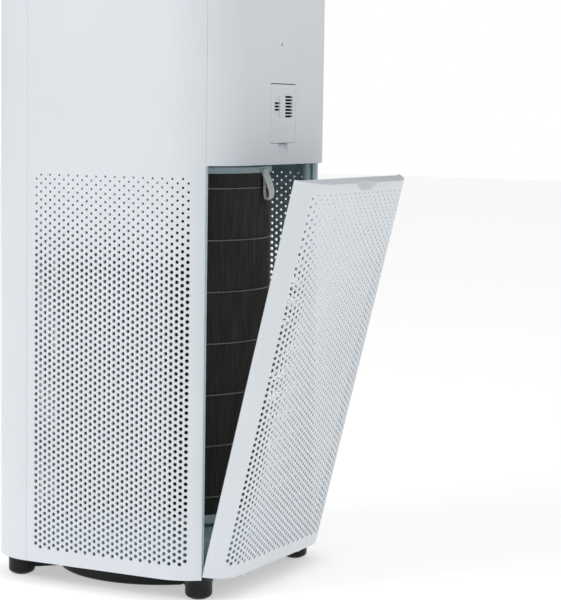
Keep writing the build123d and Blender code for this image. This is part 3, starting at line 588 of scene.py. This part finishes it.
lens_low, lens_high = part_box("display_lens")
display_z = (lens_low.z + lens_high.z) / 2
display_hole = (lens_high.x - lens_low.x) / 2 + 0.2 * MM
front_count = 37
front_end = corner + corner_radius * pi / 2 - seam_half_gap
front_columns = hole_columns(-(front_count - 1) / 2 * hole_pitch, front_count, False)
front_columns = plain_columns(-front_end, front_columns[0][0], arc_step) + front_columns
front_columns += plain_columns(front_columns[-1][1], front_end, arc_step)
display_field = 7.5 * hole_pitch
display_window = (-display_field, display_field, display_z - display_field, display_z + display_field,
                  display_hole)
make_object("front_shell_skin",
            [perforated_panel(front_place, front_columns, shell_bottom, shell_top, display_window)],
            "tower", panel_materials, ["front_shell"])

# ------------------------------------------------------------------ rear door
# finger recess in the top edge: part of a large sphere, in the closed door's place
recess_half_width = 27 * MM
recess_depth = 6 * MM
recess_drop = 8 * MM
recess_out = (recess_half_width ** 2 - recess_depth ** 2) / (2 * recess_depth)
recess_up = (recess_half_width ** 2 - recess_drop ** 2) / (2 * recess_drop)
recess_radius_squared = recess_half_width ** 2 + recess_out ** 2 + recess_up ** 2


def recess_lowering(x):
    """How far the recess lowers the door's top edge."""
    if abs(x) >= recess_half_width:
        return 0.0
    return sqrt(recess_radius_squared - recess_out ** 2 - x ** 2) - recess_up


def recess_face(x, z):
    """Depth coordinate of the recess's surface in the closed door, no farther out than the skin."""
    across = recess_radius_squared - x ** 2 - (z - door_top - recess_up) ** 2
    return min(half - 0.05 * MM, half + recess_out - sqrt(max(0.0, across)))


def on_door(x, y, z):
    """A point of the closed door, where the opened door has it."""
    return tuple(door_pose @ Vector((x, y, z)))


door_count = 40
door_end = corner + corner_radius * (pi / 2 - seam_angle - seam_half_turn)
door_columns = hole_columns(-(door_count - 1) / 2 * hole_pitch, door_count, True)
door_columns = plain_columns(-door_end, door_columns[0][0], arc_step) + door_columns
door_columns += plain_columns(door_columns[-1][1], door_end, arc_step)
door_shapes = [perforated_panel(door_place, door_columns, door_bottom, door_top, drop=recess_lowering,
                                field=door_field)]

# lid over the top, with the recess's outline in its rear edge
lid_thickness = 2.5 * MM
lid_inner_y = 119.5 * MM
lid_depth = wall - 0.3 * MM             # it runs a little into the skin
lid_turn = pi / 2 - atan2(lid_inner_y - corner, sqrt((corner_radius - lid_depth) ** 2
                                                     - (lid_inner_y - corner) ** 2))
lid_end = corner + corner_radius * lid_turn
lid_outline = []
for step in range(97):
    x, y, _ = rear_place(lid_end * (step - 48) / 48, 0.0, lid_depth)
    if abs(x) < recess_half_width:
        y = min(y, half + recess_out - sqrt(recess_radius_squared - recess_up ** 2 - x ** 2))
    lid_outline.append((x, y))
door_shapes.append(prism(lid_outline, lambda x, y, side: on_door(x, y, door_top - side * lid_thickness)))

# pad behind the recess, whose outer face is the recess itself
pad_columns = [k * 1.5 * MM for k in range(-20, 21)]
pad_height = 9 * MM
pad_rise = 8.95 * MM                    # it stops just under the lid's top
pad_inner = half - wall - 5.9 * MM
pad_rows = [door_top - pad_height + k * pad_rise / 10 for k in range(11)]
door_shapes.append(block(pad_columns, pad_rows, lambda x, z: on_door(x, recess_face(x, z), z),
                         lambda x, z: on_door(x, pad_inner, z)))

# stiffening rib near the bottom
rib_end = corner + corner_radius * (pi / 2 - seam_angle - radians(6.0))
rib_section = [(lid_depth, 30 * MM), (6.5 * MM, 30 * MM), (6.5 * MM, 32.5 * MM), (lid_depth, 32.5 * MM)]
door_shapes.append(band(door_place, -rib_end, rib_end, arc_step, rib_section))

# hooks that hang on the hinge pins, open downwards
hinge_x = (hinge_low.x + hinge_high.x) / 2
slot_radius = 1.65 * MM
hook_bottom = pivot.z - 2.6 * MM
hook_outline = [(half - wall + 0.3 * MM, 24.5 * MM), (half - wall + 0.3 * MM, 40 * MM), (131 * MM, 40 * MM),
                (125.4 * MM, 24.5 * MM), (125.4 * MM, hook_bottom), (pivot.y - slot_radius, hook_bottom)]
for step in range(9):
    turn = pi * (1 - step / 8)
    hook_outline.append((pivot.y + slot_radius * cos(turn), pivot.z + slot_radius * sin(turn)))
hook_outline += [(pivot.y + slot_radius, hook_bottom), (132.6 * MM, hook_bottom), (132.6 * MM, 24.5 * MM)]
for middle in (hinge_x, -hinge_x):
    door_shapes.append(prism(hook_outline,
                             lambda y, z, side, x=middle: on_door(x + (side * 8 - 4) * MM, y, z)))
make_object("rear_door_skin", door_shapes, "door", panel_materials, ["rear_door"])

# ------------------------------------------------------------------ pleated filter
media_low, media_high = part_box("filter_media")
media_radius = media_high.x
carbon_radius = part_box("filter_carbon")[1].x
pleat_count = 250
pleat_depth = 9 * MM
pleat_outline = []
for pleat in range(pleat_count):
    # a rounded tip outside, then a rounded fold inside
    for share, inward in ((0.0, 0.0), (0.1, 0.03), (0.32, 0.92), (0.5, 1.0), (0.68, 0.92), (0.9, 0.03)):
        turn = 2 * pi * (pleat + share) / pleat_count
        radius = media_radius - pleat_depth * inward
        pleat_outline.append((radius * cos(turn), radius * sin(turn)))
filter_shapes = [drum_ring(pleat_outline, media_low.z, media_high.z, carbon_radius)]
bead_radius = media_radius + 0.35 * MM
bead_height = 1.2 * MM
bead_pitch = 51.7 * MM
top_bead = 402.4 * MM                   # upper edge of the top bead
bead_outline = [(bead_radius * cos(pi * k / 90), bead_radius * sin(pi * k / 90)) for k in range(180)]
for bead in range(7):
    bead_top = top_bead - bead * bead_pitch
    vertices, faces, _ = drum_ring(bead_outline, bead_top - bead_height, bead_top, media_radius - 2.0 * MM)
    filter_shapes.append((vertices, faces, [1] * len(faces)))
make_object("filter_media_pleats", filter_shapes, "tower", [paper, glue], ["filter_media"])

# ------------------------------------------------------------------ pull ribbon
tab_low, tab_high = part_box("filter_tab")
ribbon_half = 0.3 * MM                  # half of its thickness
loop_line = [(112.0, 420.5), (112.1, 414.0), (112.6, 406.0), (112.7, 398.0), (113.6, 392.6), (115.4, 390.2),
             (117.8, 389.7), (119.9, 391.2), (121.0, 394.4), (120.7, 399.0), (119.0, 405.0), (116.4, 411.0),
             (114.0, 415.6), (113.2, 420.5)]
loop_line = [Vector((y * MM, z * MM)) for y, z in loop_line]
ribbon_width = tab_high.x - tab_low.x
ribbon_middle = (tab_high.x + tab_low.x) / 2
first_twist = radians(27)
last_twist = radians(-8)
# the strand by the filter stands edge-on to the rear corner, the outer one twists to face it
rims = []
for rim_side in (-1, 1):
    for skin_side in (-1, 1):
        rim_line = []
        for k, point in enumerate(loop_line):
            along = (loop_line[min(k + 1, len(loop_line) - 1)] - loop_line[max(k - 1, 0)]).normalized()
            twist = first_twist + (last_twist - first_twist) * k / (len(loop_line) - 1)
            across = Vector((cos(twist), sin(twist))) * rim_side * ribbon_width / 2
            proud = skin_side * ribbon_half
            rim_line.append((ribbon_middle + across.x, point.x + across.y + along.y * proud,
                             point.y - along.x * proud))
        rims.append(rim_line)
size = len(loop_line)
ribbon_points = rims[0] + rims[1] + rims[3] + rims[2]
ribbon_faces = [(0, size, 2 * size, 3 * size), (4 * size - 1, 3 * size - 1, 2 * size - 1, size - 1)]
for strip in range(4):
    near, far = strip * size, (strip + 1) % 4 * size
    ribbon_faces += [(near + k, near + k + 1, far + k + 1, far + k) for k in range(size - 1)]
ribbon = make_object("pull_ribbon", [(ribbon_points, ribbon_faces, None)], "tower", [tape],
                     ["filter_tab"], sharp=50)

# ------------------------------------------------------------------ camera
view_yaw = radians(27.04)
view_pitch = radians(5.48)
view_roll = radians(-0.84)
forward = Vector((-cos(view_yaw) * cos(view_pitch), -sin(view_yaw) * cos(view_pitch), -sin(view_pitch)))
level_right = Vector((-sin(view_yaw), cos(view_yaw), 0.0))
level_down = forward.cross(level_right)
image_right = level_right * cos(view_roll) + level_down * sin(view_roll)
image_down = level_down * cos(view_roll) - level_right * sin(view_roll)
camera_data = bpy.data.cameras.new("camera")
camera_data.sensor_width = 36.0
camera_data.lens = 118.4
camera_data.clip_end = 50.0
camera = bpy.data.objects.new("camera", camera_data)
bpy.context.scene.collection.objects.link(camera)
axes = Matrix((image_right, -image_down, -forward)).transposed()
camera.matrix_world = Matrix.Translation((1.7738, 1.0428, 0.4799)) @ axes.to_4x4()
bpy.context.scene.camera = camera

# ------------------------------------------------------------------ floor, world and lights
floor_mesh = bpy.data.meshes.new("floor")
reach = 12.0
floor_corners = [(-reach, -reach, 0), (reach, -reach, 0), (reach, reach, 0), (-reach, reach, 0)]
floor_mesh.from_pydata(floor_corners, [], [(0, 1, 2, 3)])
floor = bpy.data.objects.new("floor", floor_mesh)
bpy.context.scene.collection.objects.link(floor)
floor_material, _, floor_shader = new_material("floor_white", (0.9, 0.9, 0.9), 0.8, specular=0.1)
floor_shader.inputs["Emission Color"].default_value = (1.0, 1.0, 1.0, 1.0)
floor_shader.inputs["Emission Strength"].default_value = 0.47
floor_mesh.materials.append(floor_material)

world = bpy.data.worlds.new("world")
world.use_nodes = True
background = world.node_tree.nodes["Background"]
background.inputs["Color"].default_value = (1.0, 1.0, 1.0, 1.0)
# a white backdrop for the camera, dimmer as light on the object
light_path = world.node_tree.nodes.new("ShaderNodeLightPath")
strength = world.node_tree.nodes.new("ShaderNodeMapRange")
strength.inputs["To Min"].default_value = 0.52
strength.inputs["To Max"].default_value = 1.0
world.node_tree.links.new(light_path.outputs["Is Camera Ray"], strength.inputs["Value"])
world.node_tree.links.new(strength.outputs["Result"], background.inputs["Strength"])
bpy.context.scene.world = world


def area_light(name, place, target, size, power):
    light = bpy.data.lights.new(name, "AREA")
    light.shape = "DISK"
    light.size = size
    light.energy = power
    lamp = bpy.data.objects.new(name, light)
    bpy.context.scene.collection.objects.link(lamp)
    lamp.location = place
    lamp.rotation_euler = (Vector(target) - Vector(place)).to_track_quat("-Z", "Y").to_euler()
    return lamp


area_light("key", (2.6, -1.6, 2.4), (0.0, 0.0, 0.35), 1.8, 32)
area_light("fill", (1.6, 3.0, 1.6), (0.0, 0.0, 0.3), 2.0, 9)
bpy.context.scene.view_settings.view_transform = "Standard"
